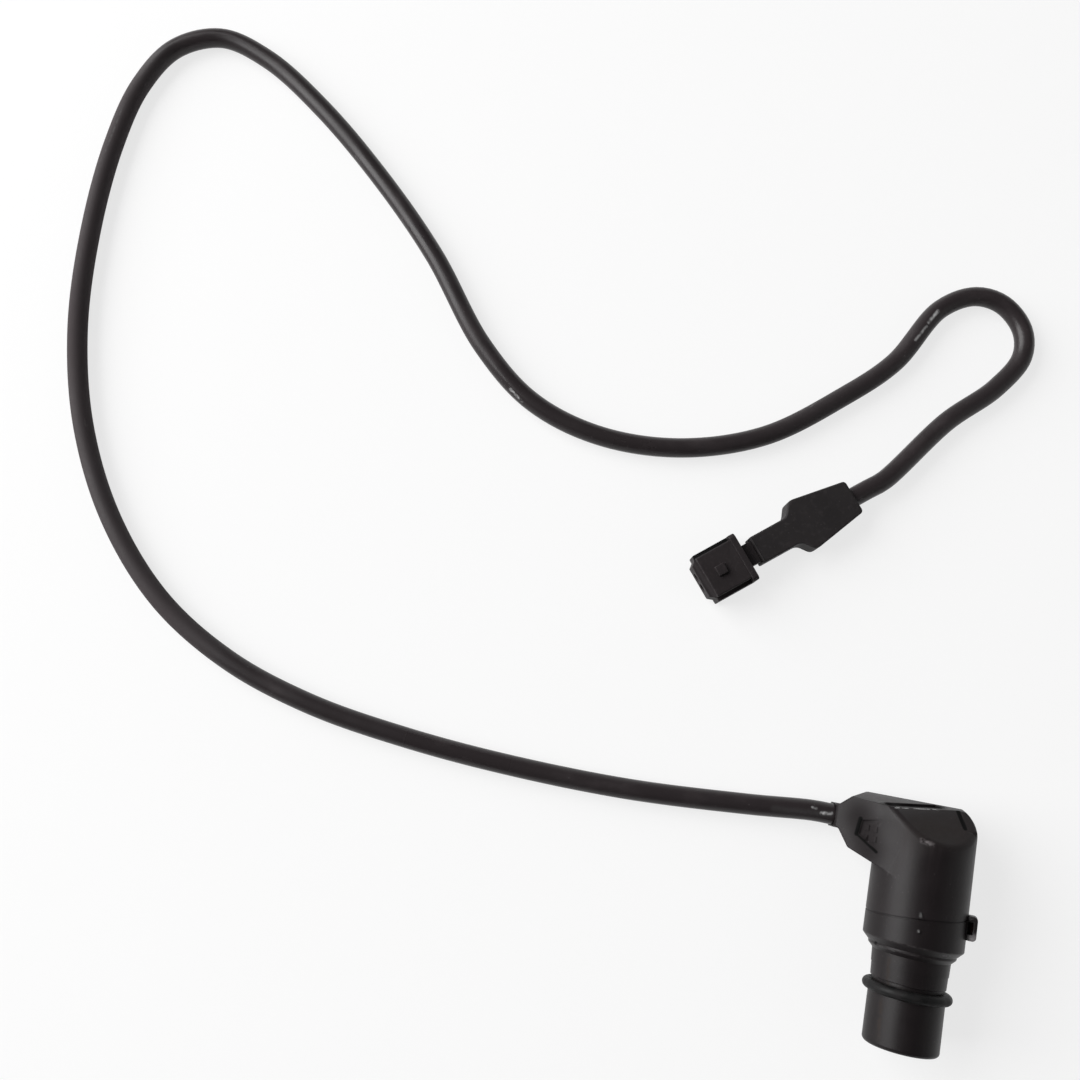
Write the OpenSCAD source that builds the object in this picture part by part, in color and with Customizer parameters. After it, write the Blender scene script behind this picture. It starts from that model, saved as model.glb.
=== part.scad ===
// Inductive crankshaft position sensor with its cable and flat two-way connector.
// Millimetres. The barrel's axis is Y with the sensing face at the origin, facing -Y, and +Z is up.
// The sensor lies on the flat flank of its cable outlet, so the table is head_d / 2 below the axis.

/* [Barrel] */
// Diameter of the barrel that fits the engine's bore
barrel_d = 17.6; // [17:0.1:18.4]
// Length from the sensing face to the ring groove
barrel_len = 11.8; // [10:0.2:16]
// Rounding of the sensing end's edge
tip_round = 1; // [0.4:0.1:1.6]
// Wall in front of the pole pin
tip_wall = 1; // [0.8:0.1:1.6]
// Wall between the ring groove and the coil's bore
sleeve_wall = 1.1; // [0.8:0.1:1.5]

/* [Seal ring] */
// Thickness of the ring's round section
ring_section = 2.4; // [1.8:0.1:2.8]
// Depth of the groove below the barrel
groove_depth = 0.9; // [0.6:0.1:1.2]
// Free width beside the ring in its groove
groove_play = 0.8; // [0.3:0.1:1.2]

/* [Neck and collar] */
// Diameter of the neck just above the groove
neck_foot_d = 17.3; // [16.8:0.1:17.6]
// Diameter of the neck just below the steps
neck_top_d = 18; // [17.8:0.1:18.8]
// Length of the neck
neck_len = 6.2; // [4:0.2:9]
// Height of the fine ridge half way up the neck
neck_ridge = 0.12; // [0.05:0.01:0.2]
// Diameter of the step between neck and collar
step_d = 20.2; // [19.6:0.1:21.2]
// Length of the step's straight land
step_land = 0.5; // [0.3:0.1:1]
// Length of the collar from its chamfer to the seam
collar_len = 6.5; // [5.9:0.1:10]
// Chamfer on both sides of the seam
seam_chamfer = 0.2; // [0.1:0.05:0.3]
// Slant of the seam, higher away from the cable outlet
seam_tilt = 6; // [0:0.5:7]

/* [Lug] */
// Length of the slotted lug along the axis
lug_len = 5.6; // [4.4:0.2:6]
// Height of the lug above the collar
lug_rise = 2.1; // [1.6:0.1:3]
// Width of the lug round the collar
lug_w = 4.6; // [3:0.2:6]
// Length of the lug's blind slot
lug_slot_len = 2.8; // [1.6:0.2:3.2]
// Distance of the lug's top above the seam
lug_over = 1.1; // [0.4:0.1:1.6]
// Wall outside the lug's slot
lug_wall = 0.9; // [0.5:0.1:1]
// Angle of the lug above the table's level
lug_turn = 20; // [0:1:40]

/* [Head] */
// Diameter of the collar and head
head_d = 23.2; // [22.6:0.1:26]
// Length of the head above the seam
head_len = 26.2; // [25:0.2:32]
// Slant of the roof towards the front
roof_tilt = 12; // [8:0.5:15]
// Distance of the roof's high edge behind the axis
roof_edge = 3; // [1:0.5:6]
// Radius of the roof's rounded end away from the outlet
roof_round = 7.6; // [6:0.2:9]
// Distance of that rounding's start below the head's top
round_drop = 6.8; // [5:0.2:9]
// Depth of the bare recess in the roof, behind the fold
recess_depth = 0.6; // [0.3:0.1:1]
// Slope of the front facet below the roof
facet_slope = 44; // [38:1:48]
// Turn of the facet away from the cable outlet
facet_turn = 28; // [22:1:34]
// Distance of the facet's top corner from the axis, towards the outlet
facet_reach = 7.6; // [6:0.2:8.4]
// Width of the bare panel on the facet, from its top corner to the rim that closes it
panel_w = 17.6; // [15:0.2:19]
// Distance of the rim's foot below the facet's top corner
rim_foot = 3.4; // [2:0.2:5]
// Slant of the rim's top above the panel
rim_tilt = 7.5; // [4:0.5:10]

/* [Cable outlet] */
// Distance of the outlet's rounded nose from the axis
outlet_reach = 20.5; // [19:0.5:25]
// Radius of the nose
nose_r = 3.5; // [3.5:0.1:4.2]
// Distance of the outlet's flat end from the nose's centre, along the cable
nose_end = 2; // [1.4:0.1:2]
// Height of the nose at the cable
nose_h = 5.9; // [5.7:0.1:7]
// Distance of the cable below the head's top
outlet_drop = 7.1; // [6.4:0.1:9]
// Length of the outlet's level top edge from the axis
outlet_top_len = 15.4; // [14:0.2:17]
// Distance of the outlet's chin from the axis
chin_reach = 17.2; // [15:0.2:18]
// Distance of the chin below the head's top
chin_drop = 14.1; // [12.6:0.1:16]
// Slope of the outlet's underside
chin_slope = 19; // [10:1:30]
// Length of the flank pocket along the outlet
pocket_len = 6.6; // [5:0.2:7]
// Height of the flank pocket's end wall
pocket_h = 3.5; // [2.8:0.1:4]
// Slant of the pocket's floor into the flank
pocket_tilt = 9; // [5:0.5:11]

/* [Magnetic core] */
// Diameter of the soft iron pole pin
pole_d = 4; // [3:0.1:5]
// Wall of the bobbin's hub round the pin
hub_wall = 1; // [0.6:0.1:1.4]
// Thickness of the bobbin's flanges
flange_t = 1.2; // [0.8:0.1:1.6]
// Length of the magnet
magnet_len = 6; // [4:0.2:8]
// Wall of the bobbin's cup round the magnet
cup_wall = 1.2; // [0.8:0.1:1.6]
// Thickness of the steel plate behind the magnet
plate_t = 1.2; // [0.8:0.1:2]
// Length of the head's narrow spigot inside the coil's bore
spigot_lead = 2.8; // [1.5:0.1:4]
// Wall of the collar round the head's wide spigot
collar_wall = 2.6; // [2:0.1:3.2]
// Width of the brass terminal blades
blade_w = 1.8; // [1.2:0.1:2.2]
// Thickness of the blades
blade_t = 0.6; // [0.4:0.05:0.8]
// Outside diameter of the crimp splices
splice_d = 2.4; // [2.2:0.05:2.5]
// Length of the terminals' tabs inside the splices
tab_len = 1.6; // [1:0.1:2]

/* [Cable] */
// Outside diameter of the cable
cable_d = 5.2; // [4.6:0.1:5.2]
// Diameter of an insulated core
core_d = 1.8; // [1.6:0.1:1.9]
// Distance between the two cores in the cable
core_pitch = 2.3; // [2.3:0.1:2.6]
// Length of cable held in the outlet
outlet_grip = 5.5; // [4:0.5:6]
// Length of cable held in the boot
boot_grip = 9; // [6:0.5:12]

/* [Connector] */
// Height of the cable above the table at the boot
plug_lift = 3.6; // [3.3:0.1:4.2]
// Width of the boot at the cable
boot_end_w = 9.3; // [8:0.1:11]
// Width of the boot at its shoulders
boot_w = 14.2; // [12.6:0.1:16]
// Thickness of the boot and its strip
boot_t = 7.2; // [6.9:0.1:8.5]
// Distance of the shoulders from the boot's cable end
boot_shoulder = 14.6; // [12:0.2:16]
// Length of the boot down to its strip
boot_len = 18.4; // [17.6:0.2:21]
// Side wall of the strip round the housing's tail
strip_wall = 0.8; // [0.5:0.05:1.2]
// Length of the strip
strip_len = 11.2; // [9:0.2:14]
// Width of the housing's neck
plug_neck_w = 6; // [5.6:0.1:6.4]
// Height of the housing's neck
plug_neck_h = 4.7; // [4.2:0.1:5.4]
// Length of the housing's neck between strip and lip
plug_neck_len = 3.4; // [1.6:0.1:4]
// Length of the housing's tail inside the strip
tail_len = 6; // [4:0.2:8]
// Width of the plug head over its rails
plug_w = 13.5; // [12.6:0.1:15]
// Length of the plug head without its tongue
plug_len = 11.8; // [11.6:0.2:14]
// Height of the plug head
plug_h = 8.6; // [8:0.1:10]
// Width of a side rail
rail_w = 1.1; // [0.8:0.1:1.4]
// Drop of the rails below the head's top face
rail_drop = 2.2; // [1.4:0.1:3]
// Thickness of the raised rear lip
lip_t = 1.7; // [1.2:0.1:2.2]
// Height of the lip above the top face
lip_rise = 0.5; // [0.2:0.1:0.8]
// Length of the front tongue
tongue_len = 1.5; // [1:0.1:2.2]
// Side of the square nub on the top face
nub_side = 2.7; // [2:0.1:3.4]
// Height of the nub
nub_h = 0.9; // [0.5:0.1:1.4]
// Distance between the two contacts
contact_pitch = 3; // [3:0.05:3.2]
// Outside diameter of a contact
contact_d = 2.2; // [2.1:0.05:2.4]
// Bore of a contact
contact_bore_d = 1.5; // [1.2:0.05:1.7]
// Length of a contact
contact_len = 9.4; // [7:0.2:9.6]
// Diameter of the wire seals
seal_d = 2.7; // [2.5:0.05:2.75]
// Length of the wire seals
seal_len = 2.4; // [1.6:0.1:2.4]

/* [Hidden] */
$fn = 64;

// Gap round every piece that is seated in another
fit = 0.05;
// Overlap that carries a cut past a face
past = 1;
// Length that reaches beyond the head in any cut
beyond = 60;

// Stations along the axis, counted from the sensing face
barrel_r = barrel_d / 2;
groove_r = barrel_r - groove_depth;
groove_w = ring_section + groove_play;
neck_z = barrel_len + groove_w;
step_z = neck_z + neck_len;
step_rise = (step_d - neck_top_d) / 2;
head_r = head_d / 2;
collar_z = step_z + step_rise + step_land + head_r - step_d / 2;
seam_z = collar_z + collar_len;
seam_top = seam_z + 2 * head_r * tan(seam_tilt) + past;
top_z = seam_z + head_len;
table_z = -head_r;

// Magnetic core, stacked from the sensing end's wall to the head's spigot
coil_bore_r = groove_r - sleeve_wall;
stack_top = collar_z - spigot_lead;
plate_z = stack_top - plate_t;
magnet_z = plate_z - magnet_len;
coil_z = tip_wall + flange_t;
coil_len = magnet_z - flange_t - coil_z;
flange_r = coil_bore_r - fit;
cup_r = flange_r - blade_t - 4 * fit;
magnet_r = cup_r - cup_wall - fit;
pole_r = pole_d / 2;
hub_r = pole_r + fit + hub_wall;
spigot_r = head_r - collar_wall;

// One blade stands on the outlet's side of the axis and one below it
blade_place = cup_r + fit + blade_t / 2;
blade_turns = [180, 90];
core_r = core_d / 2;

// Cable outlet: the flank that lies on the table is tangent to the head and to the nose
rest_roll = asin((head_r - nose_r) / outlet_reach);
outlet_z = top_z - outlet_drop;
nose_x = -outlet_reach * cos(rest_roll);
exit_x = nose_x - nose_end;
cable_r = cable_d / 2;
exit_lift = nose_r;
jacket_start = nose_x + outlet_grip;

// The two cores lie one above the other along the axis, level with the cable
core_y = head_r - exit_lift;
core_z = [outlet_z + core_pitch / 2, outlet_z - core_pitch / 2];
flag_x = [-blade_place - blade_t / 2, -blade_w / 2];
splice_gap = 0.5;
splice_len = min(flag_x[0] - jacket_start, flag_x[1] - flag_x[0]) - splice_gap;

// Roof and facet: the facet's top corner lies on the roof and on the outlet's front flank
facet_v = (head_r - facet_reach * sin(rest_roll)) / cos(rest_roll);
facet_z = top_z - (facet_v + roof_edge) * tan(roof_tilt);
fold_away = tan(facet_slope) * sin(facet_turn);
fold_back = (tan(facet_slope) * cos(facet_turn) - tan(roof_tilt)) * cos(roof_tilt);
fold_turn = atan2(fold_away, fold_back);

// Place of the connector on the table, and the way it points
plug_at = [-27.3, 130.9];
plug_turn = 219.5;
plug_way = [cos(plug_turn), sin(plug_turn)];
strip_end = boot_len + strip_len;
lip_x = strip_end + plug_neck_len;
plug_end = lip_x + plug_len;
tail_x = strip_end - tail_len;
seal_x = lip_x;
seal_gap = 0.2;
contact_x = seal_x + seal_len + seal_gap;
tail_wall = 0.6;
tail_w = contact_pitch + core_d + 2 * tail_wall;
tail_h = core_d + 2 * tail_wall;
strip_w = tail_w + 2 * strip_wall;

// Free run of the cable on the table, from the outlet to the boot, seen from above
run = [
    [-42, 48.4], [-72, 46.5], [-103, 46.8], [-130, 48.7], [-156, 52.5], [-179, 59.5], [-200, 71.5],
    [-218, 90], [-231.5, 113], [-240, 139], [-243.8, 167], [-244, 194], [-241, 213], [-234, 226],
    [-222, 231.5], [-207.5, 227.5], [-189, 215.5], [-168, 197.5], [-149, 178], [-131, 155],
    [-115, 142], [-96, 136], [-74, 136.5], [-52, 144], [-33, 158.5], [-20.5, 170.8], [-10.2, 188.1],
    [-1.2, 193.5], [6.4, 192.5], [12.4, 186.3], [13.2, 178.6], [7.1, 168.5], [-4.8, 156.7]
];
// Share of the extra height at an end that is left at the run's points next to it
ease = [0.45, 0.1];
last_run = len(run) - 1;
function eased(i) = i < len(ease) ? ease[i] : 0;
function run_lift(i) =
    cable_r + eased(i) * (exit_lift - cable_r) + eased(last_run - i) * (plug_lift - cable_r);
route = concat(
    [for (x = [jacket_start, exit_x, exit_x - cable_d]) [x, outlet_z, table_z + exit_lift]],
    [for (i = [0:last_run]) concat(run[i], [table_z + run_lift(i)])],
    [for (d = [-2 * cable_d, -cable_d, 0, boot_grip])
        concat(plug_at + d * plug_way, [table_z + plug_lift])]
);
cord_sides = 12;
ring_pitch = 2.4 * cable_d;

// Rounded outlines
corner_steps = 5;
function unit(v) = v / norm(v);
function corner_arc(a, b, c, r) =
    r == 0 ? [b] :
    let (
        u = unit(a - b),
        w = unit(c - b),
        half = acos(u * w) / 2,
        centre = b + unit(u + w) * r / sin(half),
        from = b + u * r / tan(half) - centre,
        to = b + w * r / tan(half) - centre
    )
    [for (i = [0:corner_steps]) centre + r * unit(from + (to - from) * i / corner_steps)];
function filleted(points, radii) =
    let (n = len(points))
    [for (i = [0:n - 1]) each corner_arc(points[(i + n - 1) % n], points[i], points[(i + 1) % n], radii[i])];

// Smooth curve through a list of points, with knots set by the distance between them
function knots(p) =
    [for (i = 0, s = 0; i < len(p); s = s + (i + 1 < len(p) ? sqrt(norm(p[i + 1] - p[i])) : 0), i = i + 1) s];
function between(a, b, ta, tb, t) = (a * (tb - t) + b * (t - ta)) / (tb - ta);
function curve_at(p, k, i, t) =
    let (
        a = [for (j = [-1:1]) between(p[i + j], p[i + j + 1], k[i + j], k[i + j + 1], t)],
        b = [for (j = [0:1]) between(a[j], a[j + 1], k[i + j - 1], k[i + j + 1], t)]
    )
    between(b[0], b[1], k[i], k[i + 1], t);
function smooth(points, pitch) =
    let (
        last = len(points) - 1,
        p = concat([2 * points[0] - points[1]], points, [2 * points[last] - points[last - 1]]),
        k = knots(p)
    )
    concat(
        [for (i = [1:last])
            let (steps = ceil(norm(p[i + 1] - p[i]) / pitch))
            for (s = [0:steps - 1]) curve_at(p, k, i, k[i] + (k[i + 1] - k[i]) * s / steps)],
        [points[last]]
    );

// Closed tube along a path that stays near the level
module tube(path, r, sides) {
    n = len(path);
    points = [
        for (i = [0:n - 1])
            let (
                way = unit(path[min(i + 1, n - 1)] - path[max(i - 1, 0)]),
                side = unit(cross(way, [0, 0, 1])),
                up = cross(side, way)
            )
            for (s = [0:sides - 1])
                path[i] + r * (side * cos(360 * s / sides) + up * sin(360 * s / sides))
    ];
    walls = [
        for (i = [0:n - 2], s = [0:sides - 1])
            let (a = i * sides + s, b = i * sides + (s + 1) % sides)
            each [[a, b, b + sides], [a, b + sides, a + sides]]
    ];
    ends = [[for (s = [sides - 1:-1:0]) s], [for (s = [0:sides - 1]) (n - 1) * sides + s]];
    polyhedron(points, concat(walls, ends));
}

// Stands a piece made along +Z on the sensor's axis, which is Y
module on_axis() {
    rotate([-90, 0, 0])
        children();
}

// Turns a piece made with the cable outlet along +X into its place round the axis
module outlet_side() {
    rotate([0, 0, 180 - rest_roll])
        children();
}

// Places a piece made along +X, with the table at Z = 0, where the connector lies
module at_plug() {
    translate([plug_at[0], plug_at[1], table_z])
        rotate([0, 0, plug_turn])
            children();
}

// Height of the slanted seam at a distance from the axis, away from the outlet
function seam_at(x) = seam_z + x * tan(seam_tilt);

// Outline of the sleeve's wall from its axis outwards, revolved later
module sleeve_outline() {
    translate([0, tip_round])
        square([barrel_r, barrel_len - tip_round]);
    square([barrel_r - tip_round, barrel_len]);
    translate([barrel_r - tip_round, tip_round])
        circle(r = tip_round);
    translate([0, barrel_len])
        square([groove_r, groove_w]);
    neck_mid_r = (neck_foot_d + neck_top_d) / 4;
    polygon([
        [0, neck_z],
        [neck_foot_d / 2, neck_z],
        [neck_mid_r - neck_ridge / 2, neck_z + neck_len / 2],
        [neck_mid_r + neck_ridge / 2, neck_z + neck_len / 2],
        [neck_top_d / 2, step_z],
        [step_d / 2, step_z + step_rise],
        [step_d / 2, step_z + step_rise + step_land],
        [head_r, collar_z],
        [head_r, seam_top],
        [0, seam_top]
    ]);
}

// Everything above the slanted seam
module above_seam() {
    translate([0, 0, seam_z])
        rotate([0, -seam_tilt, 0])
            translate([-beyond, -beyond, 0])
                cube([2 * beyond, 2 * beyond, beyond]);
}

// Fine groove along the seam, half in the sleeve and half in the head
module seam_groove() {
    difference() {
        translate([0, 0, seam_z])
            rotate([0, -seam_tilt, 0])
                translate([0, 0, -seam_chamfer])
                    cylinder(r = 2 * head_r, h = 2 * seam_chamfer);
        translate([0, 0, collar_z])
            cylinder(r = head_r - seam_chamfer, h = head_len);
    }
}

// Small slotted lug on the collar, its top just over the seam
module lug() {
    corner = lug_wall;
    root = 2 * lug_rise;
    outer = head_r + lug_rise;
    foot = seam_at(head_r * cos(lug_turn)) + lug_over - lug_len;
    slot_foot = foot + (lug_len - lug_slot_len) / 2;
    slot_depth = 0.6 * lug_w;
    rotate([0, 0, -lug_turn])
        difference() {
            translate([0, lug_w / 2, 0])
                rotate([90, 0, 0])
                    linear_extrude(lug_w)
                        polygon(filleted(
                            [[outer - root, foot], [outer, foot], [outer, foot + lug_len],
                                [outer - root, foot + lug_len]],
                            [0, corner, corner, 0]
                        ));
            translate([head_r, -lug_w / 2 - past, slot_foot])
                cube([lug_rise - lug_wall, slot_depth + past, lug_slot_len]);
        }
}

// Round dot on the collar that lines up with the mark on the head
mark_turn = 99;
mark_rise = 0.25;
mark_w = 1.5;
mark_z = seam_at(-head_r * cos(mark_turn - rest_roll));
dot_drop = 2.6;
module dot_mark() {
    outlet_side()
        rotate([0, 0, mark_turn])
            translate([head_r - mark_rise, 0, mark_z - dot_drop])
                rotate([0, 90, 0])
                    cylinder(d = mark_w / 2, h = 2 * mark_rise);
}

module sensor_sleeve() {
    color([0.24, 0.23, 0.23])
        on_axis() {
            difference() {
                union() {
                    difference() {
                        rotate_extrude()
                            sleeve_outline();
                        above_seam();
                        seam_groove();
                    }
                    difference() {
                        lug();
                        intersection() {
                            above_seam();
                            cylinder(r = head_r + fit, h = beyond);
                        }
                    }
                    dot_mark();
                }
                translate([0, 0, tip_wall])
                    cylinder(r = coil_bore_r, h = beyond);
                translate([0, 0, collar_z])
                    cylinder(r = spigot_r + fit, h = beyond);
            }
        }
}

// The ring sits on the groove's floor, against the wall on the sensing side
module o_ring() {
    color([0.09, 0.09, 0.09])
        on_axis()
            translate([0, 0, barrel_len + ring_section / 2])
                rotate_extrude()
                    translate([groove_r + ring_section / 2, 0])
                        circle(d = ring_section);
}

module pole_pin() {
    color([0.55, 0.55, 0.57])
        on_axis()
            translate([0, 0, tip_wall])
                cylinder(r = pole_r, h = magnet_z - tip_wall);
}

// Blade outline, upright beside the bobbin's cup, grown by a gap where it is cut from another piece
module blade(turn, foot, top, gap) {
    rotate([0, 0, turn])
        translate([blade_place - blade_t / 2 - gap, -blade_w / 2 - gap, foot])
            cube([blade_t + 2 * gap, blade_w + 2 * gap, top - foot]);
}

module coil_bobbin() {
    upper_z = magnet_z - flange_t;
    color([0.80, 0.76, 0.66])
        on_axis()
            difference() {
                union() {
                    translate([0, 0, tip_wall])
                        cylinder(r = flange_r, h = flange_t);
                    translate([0, 0, tip_wall])
                        cylinder(r = hub_r, h = magnet_z - tip_wall);
                    translate([0, 0, upper_z])
                        cylinder(r = flange_r, h = flange_t);
                    translate([0, 0, upper_z])
                        cylinder(r = cup_r, h = plate_z - upper_z);
                }
                cylinder(r = pole_r + fit, h = beyond);
                translate([0, 0, magnet_z])
                    cylinder(r = magnet_r + fit, h = beyond);
                for (turn = blade_turns)
                    blade(turn, upper_z - past, magnet_z + past, fit);
            }
}

module coil_winding() {
    color([0.62, 0.33, 0.16])
        on_axis()
            translate([0, 0, coil_z])
                difference() {
                    cylinder(r = cup_r, h = coil_len);
                    translate([0, 0, -past])
                        cylinder(r = hub_r, h = coil_len + 2 * past);
                }
}

module magnet() {
    color([0.42, 0.42, 0.44])
        on_axis()
            translate([0, 0, magnet_z])
                cylinder(r = magnet_r, h = magnet_len);
}

module flux_plate() {
    color([0.60, 0.60, 0.62])
        on_axis()
            translate([0, 0, plate_z])
                cylinder(r = cup_r, h = plate_t);
}

// Brass strip from the bobbin's flange, with a flag across to its core and a tab into the splice
flag_h = 1.6;
tab_w = 1.2;
module terminal_shape(side, foot, gap) {
    flag_from = side == 0 ? -blade_w / 2 : blade_place - blade_t / 2;
    flag_to = core_y + tab_w / 2;
    blade(blade_turns[side], foot, core_z[side] + flag_h / 2 + gap, gap);
    translate([flag_x[side] - gap, flag_from - gap, core_z[side] - flag_h / 2 - gap])
        cube([blade_t + 2 * gap, flag_to - flag_from + 2 * gap, flag_h + 2 * gap]);
}

module terminal(side) {
    color([0.78, 0.62, 0.26])
        on_axis() {
            terminal_shape(side, magnet_z - flange_t, 0);
            translate([flag_x[side] - tab_len, core_y - tab_w / 2, core_z[side] - blade_t / 2])
                cube([tab_len + blade_t / 2, tab_w, blade_t]);
        }
}

module terminal_left() {
    terminal(0);
}

module terminal_right() {
    terminal(1);
}

// Rod along a core's line in the head, from one distance to another
module core_line(side, from, to, r) {
    translate([to, core_y, core_z[side]])
        rotate([0, 90, 0])
            cylinder(r = r, h = from - to);
}

module splice(side) {
    from = flag_x[side] - fit;
    to = flag_x[side] - splice_len;
    color([0.74, 0.74, 0.72])
        on_axis()
            difference() {
                core_line(side, from, to, splice_d / 2);
                core_line(side, from + past, to - past, core_r + fit);
            }
}

module splice_left() {
    splice(0);
}

module splice_right() {
    splice(1);
}

module head_core(side) {
    color(side == 0 ? [0.70, 0.16, 0.12] : [0.85, 0.83, 0.78])
        on_axis()
            core_line(side, flag_x[side] - tab_len - fit, jacket_start, core_r);
}

module head_core_left() {
    head_core(0);
}

module head_core_right() {
    head_core(1);
}

// Teardrop seen along the axis: the head's circle, the nose and the flat flanks between them
module teardrop() {
    touch = [sin(rest_roll), cos(rest_roll)];
    nose = [outlet_reach, 0];
    mirrored = [touch[0], -touch[1]];
    circle(r = head_r);
    translate(nose)
        circle(r = nose_r);
    polygon([head_r * touch, nose + nose_r * touch, nose + nose_r * mirrored, head_r * mirrored]);
}

// Side outline of the outlet: level top, slope to the nose, chin and underside
module outlet_side_outline() {
    tip = outlet_reach + nose_r + past;
    throat = chin_reach + nose_h / 2;
    nose_top = outlet_z + nose_h / 2;
    nose_foot = outlet_z - nose_h / 2;
    chin_z = top_z - chin_drop;
    polygon(filleted(
        [
            [0, top_z + past],
            [outlet_top_len, top_z + past],
            [outlet_top_len, top_z],
            [outlet_reach, nose_top],
            [tip, nose_top],
            [tip, nose_foot],
            [throat, nose_foot],
            [chin_reach, chin_z],
            [0, chin_z - chin_reach * tan(chin_slope)]
        ],
        [0, 0, 0, 0, 0, 0, 0.8, 1.2, 0]
    ));
}

// Everything above the slanted roof
module above_roof() {
    translate([0, -roof_edge, top_z])
        rotate([-roof_tilt, 0, 0])
            translate([-beyond, -beyond, 0])
                cube([2 * beyond, 2 * beyond, beyond]);
}

// Bare recess in the roof with one round end, along the fold and a narrow ridge behind it
module roof_recess() {
    ridge = 1.1;
    recess_w = 3.4;
    recess_len = 12.4;
    fold_s = (facet_v + roof_edge) / cos(roof_tilt);
    translate([0, -roof_edge, top_z])
        rotate([-roof_tilt, 0, 0])
            translate([facet_reach, fold_s, -recess_depth])
                rotate([0, 0, 180 + fold_turn])
                    translate([recess_w / 2, ridge, 0]) {
                        cube([recess_len, recess_w, beyond]);
                        translate([0, recess_w / 2, 0])
                            cylinder(d = recess_w, h = beyond);
                    }
}

// Everything outside the roof's rounded end
module past_round_end() {
    centre = [head_r - roof_round, top_z - round_drop];
    rotate([0, 0, -lug_turn])
        translate([0, beyond, 0])
            rotate([90, 0, 0])
                linear_extrude(2 * beyond)
                    translate(centre)
                        difference() {
                            square(beyond);
                            circle(r = roof_round);
                        }
}

// Frame on the facet: X runs down the slope, Y across it, away from the outlet
module on_facet() {
    translate([facet_reach, facet_v, facet_z])
        rotate([0, 0, 90 + facet_turn])
            rotate([0, facet_slope, 0])
                children();
}

// Rim at the facet's far side, highest at the roof and flush at its foot
module facet_rim() {
    rise = tan(rim_tilt);
    translate([0, panel_w + beyond, 0])
        rotate([90, 0, 0])
            linear_extrude(beyond)
                polygon([
                    [-beyond, (beyond + rim_foot) * rise],
                    [rim_foot + past / rise, -past],
                    [-beyond, -past]
                ]);
}

// Everything above the facet, but for the rim that closes its bare panel
module above_facet() {
    on_facet()
        difference() {
            translate([-beyond, -beyond, 0])
                cube([2 * beyond, 2 * beyond, beyond]);
            facet_rim();
        }
}

// Frame on the outlet's front flank: X runs along it towards the nose, Y points out of it
module on_flank() {
    translate([head_r * sin(rest_roll), head_r * cos(rest_roll), 0])
        rotate([0, 0, -rest_roll])
            children();
}

// Pocket in the flank, deepest at its end wall and flush towards the head, with four low pads in it
pocket_from = 5;
pocket_out = 3;
module flank_pocket() {
    end_top = outlet_z + 0.2;
    end_foot = end_top - pocket_h;
    end_lean = 0.6;
    roof_fall = 0.15;
    chin_fall = 0.58;
    pad = [1.3, 1.4];
    pad_rise = 0.25;
    pad_pitch = [2.5, 2.4];
    pad_edge = 0.9;
    on_flank()
        translate([pocket_from, 0, 0])
            rotate([0, 0, -pocket_tilt])
                difference() {
                    translate([0, pocket_out, 0])
                        rotate([90, 0, 0])
                            linear_extrude(pocket_out)
                                polygon([
                                    [0, end_foot - pocket_len * chin_fall],
                                    [pocket_len, end_foot],
                                    [pocket_len - end_lean, end_top],
                                    [0, end_top + pocket_len * roof_fall]
                                ]);
                    for (column = [0, 1], row = [0, 1])
                        translate([
                            pocket_len - end_lean - pad_edge - pad[0] - column * pad_pitch[0],
                            -past,
                            end_top - pad_edge - pad[1] - row * pad_pitch[1]
                        ])
                            cube([pad[0], past + pad_rise, pad[1]]);
                }
}

// Raised triangle on the head above the seam
module triangle_mark() {
    foot = mark_z + seam_chamfer + fit;
    rotate([0, 0, mark_turn])
        translate([head_r - mark_rise, 0, 0])
            rotate([0, 90, 0])
                linear_extrude(2 * mark_rise)
                    polygon([[-foot, -mark_w / 2], [-foot, mark_w / 2], [-foot - mark_w, 0]]);
}

module head_outside() {
    difference() {
        union() {
            translate([0, 0, collar_z])
                cylinder(r = head_r, h = top_z - collar_z);
            intersection() {
                translate([0, 0, collar_z])
                    linear_extrude(top_z - collar_z)
                        teardrop();
                translate([0, beyond / 2, 0])
                    rotate([90, 0, 0])
                        linear_extrude(beyond)
                            outlet_side_outline();
            }
            triangle_mark();
        }
        above_roof();
        roof_recess();
        above_facet();
        flank_pocket();
    }
}

// Everything beyond the outlet's flat end
module past_outlet() {
    translate([exit_x - beyond, -beyond, 0])
        cube([beyond, 2 * beyond, 2 * beyond]);
}

// Bore for the cable, level with the table, from the nose to the jacket's end
module cable_bore() {
    translate([jacket_start, head_r - exit_lift, outlet_z])
        rotate([0, -90, 0])
            cylinder(r = cable_r + fit, h = beyond);
}

module head_overmould() {
    color([0.25, 0.24, 0.24])
        on_axis()
            difference() {
                union() {
                    difference() {
                        intersection() {
                            outlet_side()
                                head_outside();
                            above_seam();
                        }
                        seam_groove();
                        past_round_end();
                    }
                    translate([0, 0, collar_z])
                        cylinder(r = spigot_r, h = collar_len + past);
                    translate([0, 0, stack_top])
                        cylinder(r = flange_r, h = spigot_lead + past);
                }
                past_outlet();
                cable_bore();
                for (side = [0, 1]) {
                    terminal_shape(side, stack_top - past, fit);
                    core_line(side, flag_x[side], flag_x[side] - splice_len - fit, splice_d / 2 + fit);
                    core_line(side, flag_x[side], jacket_start - past, core_r + fit);
                }
            }
}

module cable_jacket() {
    color([0.10, 0.10, 0.11])
        tube(smooth(route, ring_pitch), cable_r, cord_sides);
}

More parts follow.
